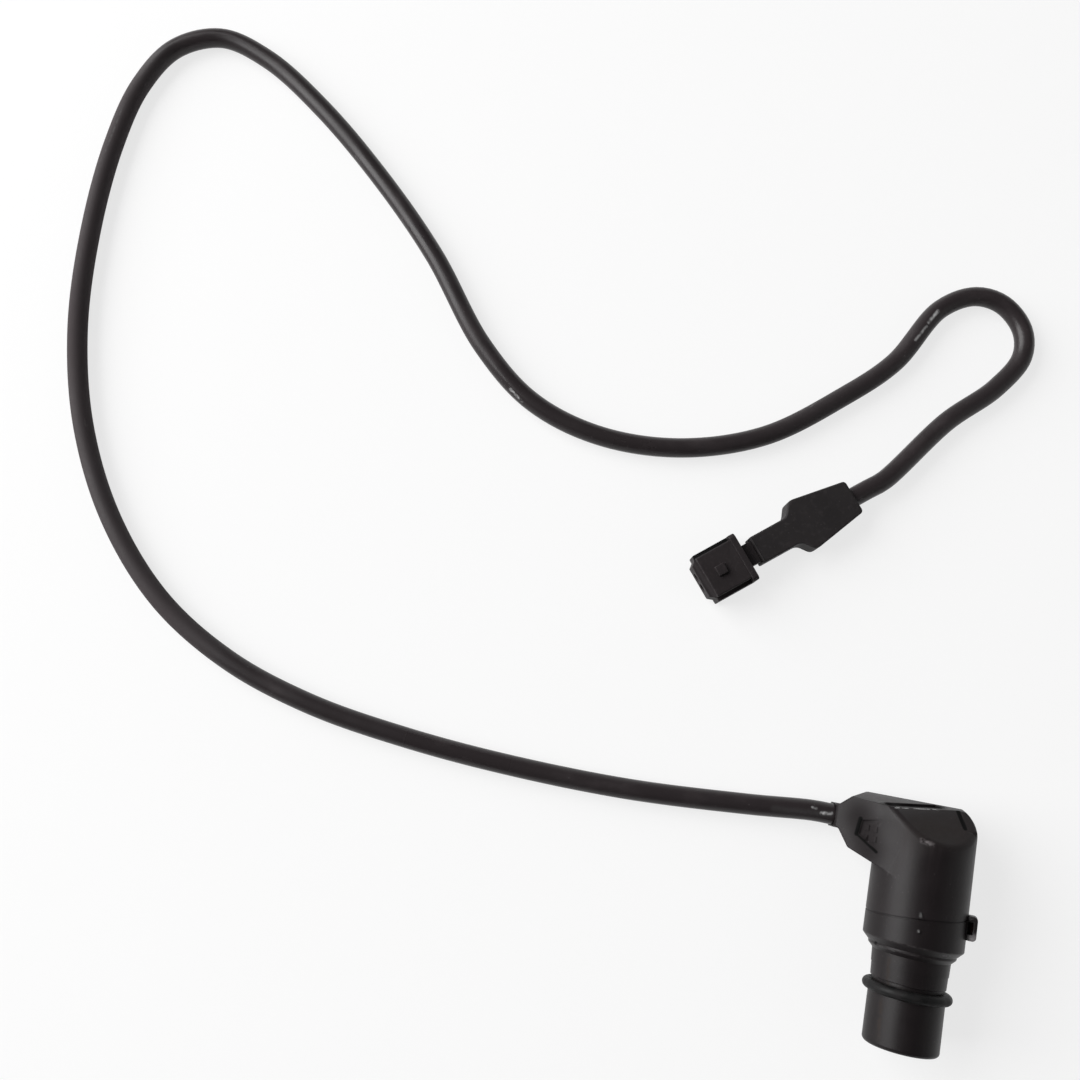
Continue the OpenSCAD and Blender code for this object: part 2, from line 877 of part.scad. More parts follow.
// Boot seen from above: tapered body, shoulders and strip
module boot_plan() {
    half_end = boot_end_w / 2;
    half_boot = boot_w / 2;
    half_strip = strip_w / 2;
    shoulder_end = boot_shoulder + 1.4;
    upper = [[0, half_end], [boot_shoulder, half_boot], [shoulder_end, half_boot],
        [boot_len, half_strip], [strip_end, half_strip]];
    lower = [for (i = [len(upper) - 1:-1:0]) [upper[i][0], -upper[i][1]]];
    radii = [1, 2, 1.8, 2.6, 0.4, 0.4, 2.6, 1.8, 2, 1];
    polygon(filleted(concat(upper, lower), radii));
}

// Two channels along the connector, one for each core
module core_channels(from, to, r) {
    for (side = [-1, 1])
        translate([from, side * contact_pitch / 2, plug_lift])
            rotate([0, 90, 0])
                cylinder(r = r, h = to - from);
}

module tail_block(gap) {
    translate([tail_x - gap, -tail_w / 2 - gap, plug_lift - tail_h / 2 - gap])
        cube([tail_len + 2 * gap, tail_w + 2 * gap, tail_h + 2 * gap]);
}

module connector_boot() {
    color([0.23, 0.22, 0.23])
        at_plug()
            difference() {
                linear_extrude(boot_t)
                    boot_plan();
                translate([-past, 0, plug_lift])
                    rotate([0, 90, 0])
                        cylinder(r = cable_r + fit, h = boot_grip + past);
                core_channels(boot_grip - past, tail_x + past, core_r + fit);
                tail_block(fit);
            }
}

// Cross-section of the plug head: top face between two lower rails
module plug_section() {
    half = plug_w / 2;
    face = half - rail_w;
    rail_z = plug_h - rail_drop;
    polygon(filleted(
        [[-half, 0], [half, 0], [half, rail_z], [face, rail_z], [face, plug_h],
            [-face, plug_h], [-face, rail_z], [-half, rail_z]],
        [0.4, 0.4, 0.3, 0, 0.4, 0.4, 0, 0.3]
    ));
}

// Extrudes an outline drawn across the connector, along it
module along_plug(from, length) {
    translate([from, 0, 0])
        rotate([90, 0, 90])
            linear_extrude(length)
                children();
}

module plug_outside() {
    tongue_half = plug_w / 2 - rail_w;
    tongue_cut = 1.2;
    tongue_z = 1.2;
    nub_x = lip_x + plug_len * 0.64;
    along_plug(lip_x + lip_t, plug_len - lip_t)
        plug_section();
    along_plug(lip_x, lip_t)
        polygon(filleted(
            [[-plug_w / 2, 0], [plug_w / 2, 0], [plug_w / 2, plug_h + lip_rise],
                [-plug_w / 2, plug_h + lip_rise]],
            [0.4, 0.4, 1.1, 1.1]
        ));
    translate([strip_end, -plug_neck_w / 2, plug_lift - plug_neck_h / 2])
        cube([plug_neck_len, plug_neck_w, plug_neck_h]);
    tail_block(0);
    translate([0, 0, tongue_z])
        linear_extrude(plug_h - rail_drop - tongue_z)
            polygon([
                [plug_end, -tongue_half], [plug_end + tongue_len, tongue_cut - tongue_half],
                [plug_end + tongue_len, tongue_half - tongue_cut], [plug_end, tongue_half]
            ]);
    translate([nub_x - nub_side / 2, -nub_side / 2, plug_h])
        cube([nub_side, nub_side, nub_h]);
}

module connector_housing() {
    color([0.22, 0.21, 0.22])
        at_plug()
            difference() {
                plug_outside();
                core_channels(tail_x - past, contact_x + past, core_r + fit);
                core_channels(seal_x, seal_x + seal_len, seal_d / 2 + fit);
                core_channels(contact_x, plug_end + tongue_len + past, contact_d / 2 + fit);
            }
}

// Side of the connector for each of a pair
function plug_side(side) = (side == 0 ? 1 : -1) * contact_pitch / 2;

core_strip = 2;
module plug_core(side) {
    color(side == 0 ? [0.70, 0.16, 0.12] : [0.85, 0.83, 0.78])
        at_plug()
            translate([boot_grip, plug_side(side), plug_lift])
                rotate([0, 90, 0])
                    cylinder(r = core_r, h = contact_x - boot_grip);
}

module plug_core_left() {
    plug_core(0);
}

module plug_core_right() {
    plug_core(1);
}

module wire_seal(side) {
    color([0.62, 0.22, 0.14])
        at_plug()
            translate([seal_x, plug_side(side), plug_lift])
                rotate([0, 90, 0])
                    difference() {
                        cylinder(d = seal_d, h = seal_len);
                        translate([0, 0, -past])
                            cylinder(r = core_r, h = seal_len + 2 * past);
                    }
}

module wire_seal_left() {
    wire_seal(0);
}

module wire_seal_right() {
    wire_seal(1);
}

module contact(side) {
    color([0.80, 0.66, 0.30])
        at_plug()
            translate([contact_x, plug_side(side), plug_lift])
                rotate([0, 90, 0])
                    difference() {
                        cylinder(d = contact_d, h = contact_len);
                        translate([0, 0, core_strip])
                            cylinder(d = contact_bore_d, h = contact_len);
                    }
}

module contact_left() {
    contact(0);
}

module contact_right() {
    contact(1);
}

sensor_sleeve();
o_ring();
pole_pin();
coil_bobbin();
coil_winding();
magnet();
flux_plate();
terminal_left();
terminal_right();
splice_left();
splice_right();
head_core_left();
head_core_right();
head_overmould();
cable_jacket();
connector_boot();
connector_housing();
plug_core_left();
plug_core_right();
wire_seal_left();
wire_seal_right();
contact_left();
contact_right();
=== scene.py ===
import math
from typing import NamedTuple

import bmesh
import bpy
from mathutils import Matrix, Vector


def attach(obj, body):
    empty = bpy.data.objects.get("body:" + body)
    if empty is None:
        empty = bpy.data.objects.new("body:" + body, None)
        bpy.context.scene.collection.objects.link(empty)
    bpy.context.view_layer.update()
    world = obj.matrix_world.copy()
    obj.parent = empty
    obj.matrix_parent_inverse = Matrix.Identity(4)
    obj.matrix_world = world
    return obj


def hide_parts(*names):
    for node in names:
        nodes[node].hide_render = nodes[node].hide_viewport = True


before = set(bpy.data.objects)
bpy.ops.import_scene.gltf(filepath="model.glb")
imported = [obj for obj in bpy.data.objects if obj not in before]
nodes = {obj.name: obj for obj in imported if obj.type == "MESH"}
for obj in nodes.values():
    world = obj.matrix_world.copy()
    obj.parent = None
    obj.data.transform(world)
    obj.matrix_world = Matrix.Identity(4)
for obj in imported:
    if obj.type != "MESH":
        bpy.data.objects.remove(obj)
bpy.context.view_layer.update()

# Camera above the table, tilted a little from straight down.
# The lens and the place come from the cable's and the sensor's sizes in the picture.
MM = 0.001
FILM_W = 36
FOCAL_PX = 1100
FRAME_PX = 1080
CAMERA_AT = Vector((-96.57, 55.85, 275.6)) * MM
CAMERA_RIGHT = Vector((0.983, 0.184, 0))
CAMERA_BACK = Vector((0.0319, -0.1707, 0.9848))
scene = bpy.context.scene
scene.view_settings.view_transform = "Standard"
camera_data = bpy.data.cameras.new("camera")
camera_data.sensor_width = FILM_W
camera_data.lens = FILM_W * FOCAL_PX / FRAME_PX
camera_data.clip_start = 10 * MM
camera = bpy.data.objects.new("camera", camera_data)
scene.collection.objects.link(camera)
back = CAMERA_BACK.normalized()
up = back.cross(CAMERA_RIGHT.normalized()).normalized()
right = up.cross(back)
camera.matrix_world = Matrix.Translation(CAMERA_AT) @ Matrix((right, up, back)).transposed().to_4x4()
scene.camera = camera

# Pale round table top with a low backdrop at its rim, and soft studio light over it.
# The camera, reflections and clear pieces see both as white, and the shadow stays on the table.
TABLE_Z = -11.6 * MM
TABLE_R = 3.0
TABLE_SIDES = 96
TABLE_MIDDLE = (-0.1, 0.1, TABLE_Z - 0.1 * MM)
BACKDROP_H = 0.8
GLOW_SHARE = 0.75
ROOM_LIGHT = 0.12
LAMPS_AIM = Vector((-0.1, 0.11, 0.0))
WHITE = (1, 1, 1, 1)
TABLE_PALE = (0.9, 0.9, 0.9, 1)


def add_node(tree, kind, values=(), **settings):
    """A node with its settings, and values or links for its input sockets by name or number."""
    node = tree.nodes.new(kind)
    for label, value in settings.items():
        setattr(node, label, value)
    for socket, value in dict(values).items():
        if isinstance(value, bpy.types.NodeSocket):
            tree.links.new(value, node.inputs[socket])
        else:
            node.inputs[socket].default_value = value
    return node


def new_material(name, constants):
    """A material with its node tree and its main shader, which gets the constants."""
    material = bpy.data.materials.new(name)
    material.use_nodes = True
    shader = material.node_tree.nodes["Principled BSDF"]
    for label, value in constants.items():
        shader.inputs[label].default_value = value
    return material, material.node_tree, shader


def softbox(name, place, size, power):
    """A flat lamp that faces the table's middle."""
    lamp = bpy.data.lights.new(name, "AREA")
    lamp.shape = "RECTANGLE"
    lamp.size, lamp.size_y = size
    lamp.energy = power
    holder = bpy.data.objects.new(name, lamp)
    scene.collection.objects.link(holder)
    holder.location = place
    holder.rotation_euler = (LAMPS_AIM - Vector(place)).to_track_quat("-Z", "Y").to_euler()


floor_form = bmesh.new()
bmesh.ops.create_circle(floor_form, cap_ends=True, segments=TABLE_SIDES, radius=TABLE_R)
rim = bmesh.ops.extrude_edge_only(floor_form, edges=[edge for edge in floor_form.edges if edge.is_boundary])
rim_top = [corner for corner in rim["geom"] if isinstance(corner, bmesh.types.BMVert)]
bmesh.ops.translate(floor_form, verts=rim_top, vec=(0, 0, BACKDROP_H))
bmesh.ops.translate(floor_form, verts=floor_form.verts, vec=TABLE_MIDDLE)
floor_mesh = bpy.data.meshes.new("table_top")
floor_form.to_mesh(floor_mesh)
floor_form.free()
floor = bpy.data.objects.new("table_top", floor_mesh)
scene.collection.objects.link(floor)
table_white, tree, shader = new_material(
    "table_white", {"Base Color": TABLE_PALE, "Roughness": 0.8, "Specular IOR Level": 0.0})
glow = add_node(tree, "ShaderNodeEmission", {"Color": WHITE, "Strength": 1.0}).outputs[0]
ray = add_node(tree, "ShaderNodeLightPath").outputs
seen = add_node(
    tree, "ShaderNodeMath", {0: ray["Is Camera Ray"], 1: ray["Is Glossy Ray"]}, operation="MAXIMUM").outputs[0]
seen_all = add_node(
    tree, "ShaderNodeMath", {0: seen, 1: ray["Is Transmission Ray"]}, operation="MAXIMUM").outputs[0]
share = add_node(tree, "ShaderNodeMath", {0: seen_all, 1: GLOW_SHARE}, operation="MULTIPLY").outputs[0]
surface = add_node(tree, "ShaderNodeMixShader", {"Fac": share, 1: shader.outputs[0], 2: glow}).outputs[0]
tree.links.new(surface, tree.nodes["Material Output"].inputs["Surface"])
floor_mesh.materials.append(table_white)

world = bpy.data.worlds.new("studio")
scene.world = world
world.use_nodes = True
world.node_tree.nodes["Background"].inputs["Color"].default_value = WHITE
world.node_tree.nodes["Background"].inputs["Strength"].default_value = ROOM_LIGHT
softbox("window_left", place=(-1.3, 0.35, 0.75), size=(1.5, 1.2), power=38)
softbox("window_right", place=(1.2, 0.1, 0.8), size=(1.0, 1.0), power=1.5)


# Cable: round black jacket over two cores, extruded and slightly glossy, from the head to the plug's boot.
# It lies on the table in the loose curve of the picture, along the points that the solid follows.
CABLE_D = 5.2 * MM
CABLE_SIDES = 28
CABLE_PITCH = 1.5 * MM
EXIT = Vector((-20.8319, 49.9, -8.1)) * MM
EXIT_STATIONS = (7.5, 0, -5.2)
PLUG_AT = Vector((-27.3, 130.9, -8.0)) * MM
PLUG_TURN = math.radians(219.5)
PLUG_WAY = Vector((math.cos(PLUG_TURN), math.sin(PLUG_TURN), 0))
PLUG_STATIONS = (-10.4, -5.2, 0, 9)
EASE = (0.45, 0.1)
LYING_Z = TABLE_Z + CABLE_D / 2
run = [
    (-42, 48.4), (-72, 46.5), (-103, 46.8), (-130, 48.7), (-156, 52.5), (-179, 59.5), (-200, 71.5),
    (-218, 90), (-231.5, 113), (-240, 139), (-243.8, 167), (-244, 194), (-241, 213), (-234, 226),
    (-222, 231.5), (-207.5, 227.5), (-189, 215.5), (-168, 197.5), (-149, 178), (-131, 155),
    (-115, 142), (-96, 136), (-74, 136.5), (-52, 144), (-33, 158.5), (-20.5, 170.8), (-10.2, 188.1),
    (-1.2, 193.5), (6.4, 192.5), (12.4, 186.3), (13.2, 178.6), (7.1, 168.5), (-4.8, 156.7),
]
lifts = [LYING_Z] * len(run)
for i, left in enumerate(EASE):
    lifts[i] += left * (EXIT.z - LYING_Z)
    lifts[-1 - i] += left * (PLUG_AT.z - LYING_Z)
stations = [EXIT + Vector((x * MM, 0, 0)) for x in EXIT_STATIONS]
stations += [Vector((x * MM, y * MM, z)) for (x, y), z in zip(run, lifts)]
stations += [PLUG_AT + PLUG_WAY * d * MM for d in PLUG_STATIONS]


def smooth_run(points, pitch):
    """Points of a smooth curve through the stations, about one pitch apart."""
    p = [2 * points[0] - points[1], *points, 2 * points[-1] - points[-2]]
    knot = [0.0]
    for before, after in zip(p, p[1:]):
        knot.append(knot[-1] + math.sqrt((after - before).length))

    def between(a, b, i, j, t):
        return (a * (knot[j] - t) + b * (t - knot[i])) / (knot[j] - knot[i])

    line = []
    for i in range(1, len(p) - 2):
        steps = max(1, round((p[i + 1] - p[i]).length / pitch))
        for s in range(steps):
            t = knot[i] + (knot[i + 1] - knot[i]) * s / steps
            a = [between(p[i + j], p[i + j + 1], i + j, i + j + 1, t) for j in (-1, 0, 1)]
            b = [between(a[j], a[j + 1], i + j - 1, i + j + 1, t) for j in (0, 1)]
            line.append(between(b[0], b[1], i, i + 1, t))
    return line + [p[-2]]


centreline = smooth_run(stations, CABLE_PITCH)


def new_tree(name, kind, inputs, outputs):
    """A node group with named inputs and outputs, and its two end nodes."""
    tree = bpy.data.node_groups.new(name, kind)
    for label, socket_type, value in inputs:
        socket = tree.interface.new_socket(label, in_out="INPUT", socket_type=socket_type)
        if value is not None:
            socket.default_value = value
    for label, socket_type in outputs:
        tree.interface.new_socket(label, in_out="OUTPUT", socket_type=socket_type)
    return tree, tree.nodes.new("NodeGroupInput").outputs, tree.nodes.new("NodeGroupOutput").inputs


def apply_tree(obj, tree, values):
    """Runs a Geometry Nodes tree on an object with the given inputs and returns a plain mesh."""
    modifier = obj.modifiers.new(tree.name, "NODES")
    modifier.node_group = tree
    for item in tree.interface.items_tree:
        if item.item_type == "SOCKET" and item.in_out == "INPUT" and item.name in values:
            modifier[item.identifier] = values[item.name]
    evaluated = obj.evaluated_get(bpy.context.evaluated_depsgraph_get())
    mesh = bpy.data.meshes.new_from_object(evaluated)
    obj.modifiers.remove(modifier)
    return mesh


sweep, given, made = new_tree(
    "round_sweep", "GeometryNodeTree",
    [("Line", "NodeSocketGeometry", None), ("Radius", "NodeSocketFloat", CABLE_D / 2),
     ("Sides", "NodeSocketInt", CABLE_SIDES), ("Finish", "NodeSocketMaterial", None)],
    [("Tube", "NodeSocketGeometry")])
ring = add_node(sweep, "GeometryNodeCurvePrimitiveCircle", {
    "Resolution": given["Sides"], "Radius": given["Radius"]})
ring_place = add_node(sweep, "GeometryNodeInputPosition")
ring_unit = add_node(sweep, "ShaderNodeVectorMath", {0: ring_place.outputs[0]}, operation="NORMALIZE")
ring_marked = add_node(
    sweep, "GeometryNodeStoreNamedAttribute",
    {"Geometry": ring.outputs["Curve"], "Name": "around", "Value": ring_unit.outputs[0]},
    data_type="FLOAT_VECTOR", domain="POINT")
distance = add_node(sweep, "GeometryNodeSplineParameter")
line_marked = add_node(
    sweep, "GeometryNodeStoreNamedAttribute",
    {"Geometry": given["Line"], "Name": "along", "Value": distance.outputs["Length"]},
    data_type="FLOAT", domain="POINT")
tube = add_node(sweep, "GeometryNodeCurveToMesh", {
    "Curve": line_marked.outputs[0], "Profile Curve": ring_marked.outputs[0], "Fill Caps": True})
whole = add_node(sweep, "GeometryNodeRealizeInstances", {"Geometry": tube.outputs["Mesh"]})
painted = add_node(sweep, "GeometryNodeSetMaterial", {
    "Geometry": whole.outputs[0], "Material": given["Finish"]})
sweep.links.new(painted.outputs[0], made["Tube"])


def swept(name, points, closed, radius, sides, finish):
    """A round section swept along points, as a plain smooth mesh object."""
    line_data = bpy.data.curves.new(name + "_line", "CURVE")
    line_data.dimensions = "3D"
    spline = line_data.splines.new("POLY")
    spline.points.add(len(points) - 1)
    for point, place in zip(spline.points, points):
        point.co = (*place, 1)
    spline.use_cyclic_u = closed
    line_object = bpy.data.objects.new(name + "_line", line_data)
    scene.collection.objects.link(line_object)
    mesh = apply_tree(line_object, sweep, {"Radius": radius, "Sides": sides, "Finish": finish})
    bpy.data.objects.remove(line_object)
    for face in mesh.polygons:
        face.use_smooth = len(face.vertices) == 4
    piece = bpy.data.objects.new(name, mesh)
    scene.collection.objects.link(piece)
    return piece


streaks, given, made = new_tree(
    "rub_streaks", "ShaderNodeTree",
    [("Place", "NodeSocketVector", None), ("Stretch", "NodeSocketVector", (1, 1, 1)),
     ("Scale", "NodeSocketFloat", 1000), ("Low", "NodeSocketFloat", 0.55), ("High", "NodeSocketFloat", 0.75)],
    [("Mask", "NodeSocketFloat")])
drawn = add_node(
    streaks, "ShaderNodeVectorMath", {0: given["Place"], 1: given["Stretch"]}, operation="MULTIPLY")
cloud = add_node(streaks, "ShaderNodeTexNoise", {
    "Vector": drawn.outputs[0], "Scale": given["Scale"], "Detail": 4.0, "Roughness": 0.6})
cut = add_node(
    streaks, "ShaderNodeMapRange",
    {"Value": cloud.outputs[0], "From Min": given["Low"], "From Max": given["High"]},
    interpolation_type="SMOOTHSTEP")
streaks.links.new(cut.outputs["Result"], made["Mask"])

specks, given, made = new_tree(
    "dust_specks", "ShaderNodeTree",
    [("Place", "NodeSocketVector", None), ("Scale", "NodeSocketFloat", 900),
     ("Size", "NodeSocketFloat", 0.18), ("Share", "NodeSocketFloat", 0.25)],
    [("Mask", "NodeSocketFloat")])
cells = add_node(specks, "ShaderNodeTexVoronoi", {"Vector": given["Place"], "Scale": given["Scale"]})
dot = add_node(specks, "ShaderNodeMapRange", {
    "Value": cells.outputs["Distance"], "From Min": given["Size"], "From Max": 0.0})
lot = add_node(specks, "ShaderNodeSeparateColor", {0: cells.outputs["Color"]})
chosen = add_node(specks, "ShaderNodeMath", {0: lot.outputs[0], 1: given["Share"]}, operation="LESS_THAN")
speck = add_node(specks, "ShaderNodeMath", {0: dot.outputs[0], 1: chosen.outputs[0]}, operation="MULTIPLY")
specks.links.new(speck.outputs[0], made["Mask"])

# Mask of a soft line that marks wear, dirt, painted shade or a painted highlight.
mark, given, made = new_tree(
    "wear_and_painted_light_mark", "ShaderNodeTree",
    [("Place", "NodeSocketVector", None), ("From", "NodeSocketVector", (0, 0, 0)),
     ("To", "NodeSocketVector", (0, 0, 0)), ("Width", "NodeSocketFloat", 0.001),
     ("Scale", "NodeSocketFloat", 900), ("Broken", "NodeSocketFloat", 1.0)],
    [("Mask", "NodeSocketFloat")])
reach = add_node(
    mark, "ShaderNodeVectorMath", {0: given["Place"], 1: given["From"]}, operation="SUBTRACT").outputs[0]
length = add_node(
    mark, "ShaderNodeVectorMath", {0: given["To"], 1: given["From"]}, operation="SUBTRACT").outputs[0]
lead = add_node(
    mark, "ShaderNodeVectorMath", {0: reach, 1: length}, operation="DOT_PRODUCT").outputs["Value"]
full = add_node(
    mark, "ShaderNodeVectorMath", {0: length, 1: length}, operation="DOT_PRODUCT").outputs["Value"]
part = add_node(mark, "ShaderNodeMath", {0: lead, 1: full}, operation="DIVIDE", use_clamp=True).outputs[0]
foot = add_node(mark, "ShaderNodeVectorMath", {0: length, "Scale": part}, operation="SCALE").outputs[0]
gap = add_node(mark, "ShaderNodeVectorMath", {0: reach, 1: foot}, operation="DISTANCE").outputs["Value"]
closeness = add_node(
    mark, "ShaderNodeMapRange", {"Value": gap, "From Min": given["Width"], "From Max": 0.0},
    interpolation_type="SMOOTHSTEP")
break_up = add_node(mark, "ShaderNodeTexNoise", {
    "Vector": given["Place"], "Scale": given["Scale"], "Detail": 4.0})
least = add_node(mark, "ShaderNodeMath", {0: 1.0, 1: given["Broken"]}, operation="SUBTRACT")
bits = add_node(mark, "ShaderNodeMapRange", {
    "Value": break_up.outputs[0], "From Min": 0.38, "From Max": 0.6, "To Min": least.outputs[0]})
marked = add_node(mark, "ShaderNodeMath", {0: closeness.outputs[0], 1: bits.outputs[0]}, operation="MULTIPLY")
mark.links.new(marked.outputs[0], made["Mask"])


def use_group(tree, group, values):
    """A shader group placed in a material; returns its outputs."""
    return add_node(tree, "ShaderNodeGroup", values, node_tree=group).outputs


def mixed(tree, share, a, b):
    """Colour between a and b."""
    return add_node(tree, "ShaderNodeMix", {0: share, 6: a, 7: b}, data_type="RGBA").outputs[2]


def times(tree, a, b):
    """Product of two values."""
    return add_node(tree, "ShaderNodeMath", {0: a, 1: b}, operation="MULTIPLY").outputs[0]


def plus(tree, a, b):
    """Sum of two values."""
    return add_node(tree, "ShaderNodeMath", {0: a, 1: b}, operation="ADD").outputs[0]


def ranged(tree, value, low, high):
    """Value from 0 to 1 carried over to the range from low to high."""
    return add_node(tree, "ShaderNodeMapRange", {"Value": value, "To Min": low, "To Max": high}).outputs[0]


def bumped(tree, height, strength, depth):
    """Normal of a surface with fine relief of that depth in metres."""
    return add_node(tree, "ShaderNodeBump", {
        "Height": height, "Strength": strength, "Distance": depth}).outputs[0]


def grey(level, warmth=0.0):
    """A grey that leans to red by its warmth, and to blue by a quarter of that."""
    return (level * (1 + warmth), level, level * (1 + 0.25 * warmth), 1)


class WearAndPaintedLight(NamedTuple):
    """A soft line from one place to another, in mm, painted as wear, dirt, shade or a highlight; it can be
    broken up.
    """
    start: tuple
    end: tuple
    width: float
    strength: float
    shade: tuple
    broken: float = 0.0


# Roughness under every mark, whether it is wear, dirt, painted shade or a painted highlight.
WEAR_AND_PAINTED_LIGHT_ROUGHNESS = 0.95


def wear_and_painted_light_over(tree, place, marks, tone, rough):
    """Tone and roughness with marks of wear, dirt, painted shade and painted highlights over them, in the order
    of the marks.
    """
    for rub in marks.values():
        mask = use_group(tree, mark, {
            "Place": place, "From": Vector(rub.start) * MM, "To": Vector(rub.end) * MM,
            "Width": rub.width * MM, "Broken": rub.broken})["Mask"]
        cover = times(tree, mask, rub.strength)
        tone = mixed(tree, cover, tone, rub.shade)
        rough = add_node(tree, "ShaderNodeMix", {0: cover, 2: rough, 3: WEAR_AND_PAINTED_LIGHT_ROUGHNESS}).outputs[0]
    return tone, rough


JACKET = grey(0.018, 0.25)
JACKET_SMEARED = grey(0.025, 0.25)
JACKET_SCUFFED = grey(0.12, 0.05)
JACKET_DUST = grey(0.10, 0.1)
JACKET_DULLED = grey(0.034, 0.25)
SCUFF_COVER = 0.5
JACKET_DUST_COVER = 0.5
CABLE_MARKS = {
    # Painted highlights: pale streaks by the outlet stand for the light shining on the jacket.
    "shine by the outlet": WearAndPaintedLight((-36.0, 48.6, -6.4), (-22.0, 49.7, -5.6), 1.3, 0.3, grey(0.08), 0.3),
    "glint at the outlet": WearAndPaintedLight((-24.2, 49.7, -5.5), (-21.8, 50.1, -5.6), 0.65, 0.8, grey(0.6), 0.9),
    "glint beside it": WearAndPaintedLight((-26.6, 50.7, -5.7), (-25.6, 50.6, -5.6), 0.5, 0.7, grey(0.35), 0.8),
    # Painted highlights: pale glints on the hairpin's upper leg.
    "painted glint before the hairpin": WearAndPaintedLight((-16.5, 177.0, -6.6), (-14.0, 181.4, -6.5), 0.6, 0.7, grey(0.4), 0.9),
    "painted glint in the hairpin": WearAndPaintedLight((-13.6, 182.6, -6.5), (-11.5, 186.3, -6.5), 0.7, 0.8, grey(0.5), 0.8),
    "scuff half way": WearAndPaintedLight((-121.0, 143.6, -7.2), (-117.5, 140.8, -7.2), 0.7, 0.8, grey(0.45), 1.0),
    "dull upper loop": WearAndPaintedLight((-244.0, 205.0, -9.0), (-240.0, 139.0, -9.0), 24.0, 0.75, JACKET_DULLED, 0.15),
    "dull lower loop": WearAndPaintedLight((-240.0, 139.0, -9.0), (-195.0, 68.0, -9.0), 24.0, 0.75, JACKET_DULLED, 0.15),
    "scuff on the loop": WearAndPaintedLight((-243.0, 205.0, -6.7), (-244.5, 190.0, -6.7), 0.5, 0.5, grey(0.2), 1.0),
}
jacket_black, tree, shader = new_material("jacket_black", {"Specular IOR Level": 0.3})
around = add_node(tree, "ShaderNodeAttribute", attribute_name="around").outputs["Vector"]
along = add_node(tree, "ShaderNodeAttribute", attribute_name="along").outputs["Fac"]
across = add_node(tree, "ShaderNodeSeparateXYZ", {0: around}).outputs
skin = add_node(tree, "ShaderNodeCombineXYZ", {
    0: times(tree, across[0], CABLE_D / 2), 1: times(tree, across[1], CABLE_D / 2), 2: along}).outputs[0]
draw_lines = use_group(tree, streaks, {
    "Place": skin, "Stretch": (1, 1, 0.04), "Scale": 2200, "Low": 0.5, "High": 0.72})["Mask"]
smears = use_group(tree, streaks, {
    "Place": skin, "Stretch": (1, 1, 0.5), "Scale": 160, "Low": 0.48, "High": 0.75})["Mask"]
scuffs = use_group(tree, streaks, {
    "Place": skin, "Stretch": (1, 1, 0.25), "Scale": 420, "Low": 0.68, "High": 0.74})["Mask"]
dull_lengths = use_group(tree, streaks, {
    "Place": skin, "Stretch": (0, 0, 1), "Scale": 14, "Low": 0.4, "High": 0.62})["Mask"]
dust = use_group(tree, specks, {"Place": skin, "Scale": 700, "Size": 0.16, "Share": 0.12})["Mask"]
tone = mixed(tree, smears, JACKET, JACKET_SMEARED)
tone = mixed(tree, times(tree, scuffs, SCUFF_COVER), tone, JACKET_SCUFFED)
tone = mixed(tree, times(tree, dust, JACKET_DUST_COVER), tone, JACKET_DUST)
gloss = plus(tree, ranged(tree, smears, low=0.26, high=0.34), ranged(tree, dull_lengths, low=0.0, high=0.2))
place = add_node(tree, "ShaderNodeTexCoord").outputs["Object"]
tone, gloss = wear_and_painted_light_over(tree, place, CABLE_MARKS, tone, gloss)
tree.links.new(tone, shader.inputs["Base Color"])
tree.links.new(gloss, shader.inputs["Roughness"])
tree.links.new(bumped(tree, draw_lines, strength=0.35, depth=0.02 * MM), shader.inputs["Normal"])

cable = swept("cable", centreline, closed=False, radius=CABLE_D / 2, sides=CABLE_SIDES, finish=jacket_black)
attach(cable, "root")
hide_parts("cable_jacket")


# Seal ring: round rubber ring stretched into the groove of the barrel.
# Its section stands well out of the groove, and grit clings to it.
RING_R = 9.1 * MM
RING_Y = 13.0 * MM
RING_SECTION = 2.4 * MM
RING_STEPS = 120
RING_SIDES = 24
RING_TONE = grey(0.004)
RING_GRIMY = grey(0.008, 0.15)
GRIT_TONE = grey(0.08, 0.15)
GRIT_COVER = 0.35
ring_black, tree, shader = new_material("ring_black", {"Specular IOR Level": 0.2})
place = add_node(tree, "ShaderNodeTexCoord").outputs["Object"]
grime = use_group(tree, streaks, {"Place": place, "Scale": 500, "Low": 0.42, "High": 0.7})["Mask"]
grit = use_group(tree, specks, {"Place": place, "Scale": 1100, "Size": 0.22, "Share": 0.2})["Mask"]
tone = mixed(tree, grime, RING_TONE, RING_GRIMY)
tone = mixed(tree, times(tree, grit, GRIT_COVER), tone, GRIT_TONE)
tree.links.new(tone, shader.inputs["Base Color"])
tree.links.new(ranged(tree, grime, low=0.5, high=0.7), shader.inputs["Roughness"])
tree.links.new(bumped(tree, grit, strength=0.3, depth=0.03 * MM), shader.inputs["Normal"])

ring_turns = [2 * math.pi * i / RING_STEPS for i in range(RING_STEPS)]
ring_points = [Vector((RING_R * math.cos(turn), RING_Y, RING_R * math.sin(turn))) for turn in ring_turns]
seal_ring = swept(
    "seal_ring", ring_points, closed=True, radius=RING_SECTION / 2, sides=RING_SIDES, finish=ring_black)
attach(seal_ring, "root")
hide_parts("o_ring")


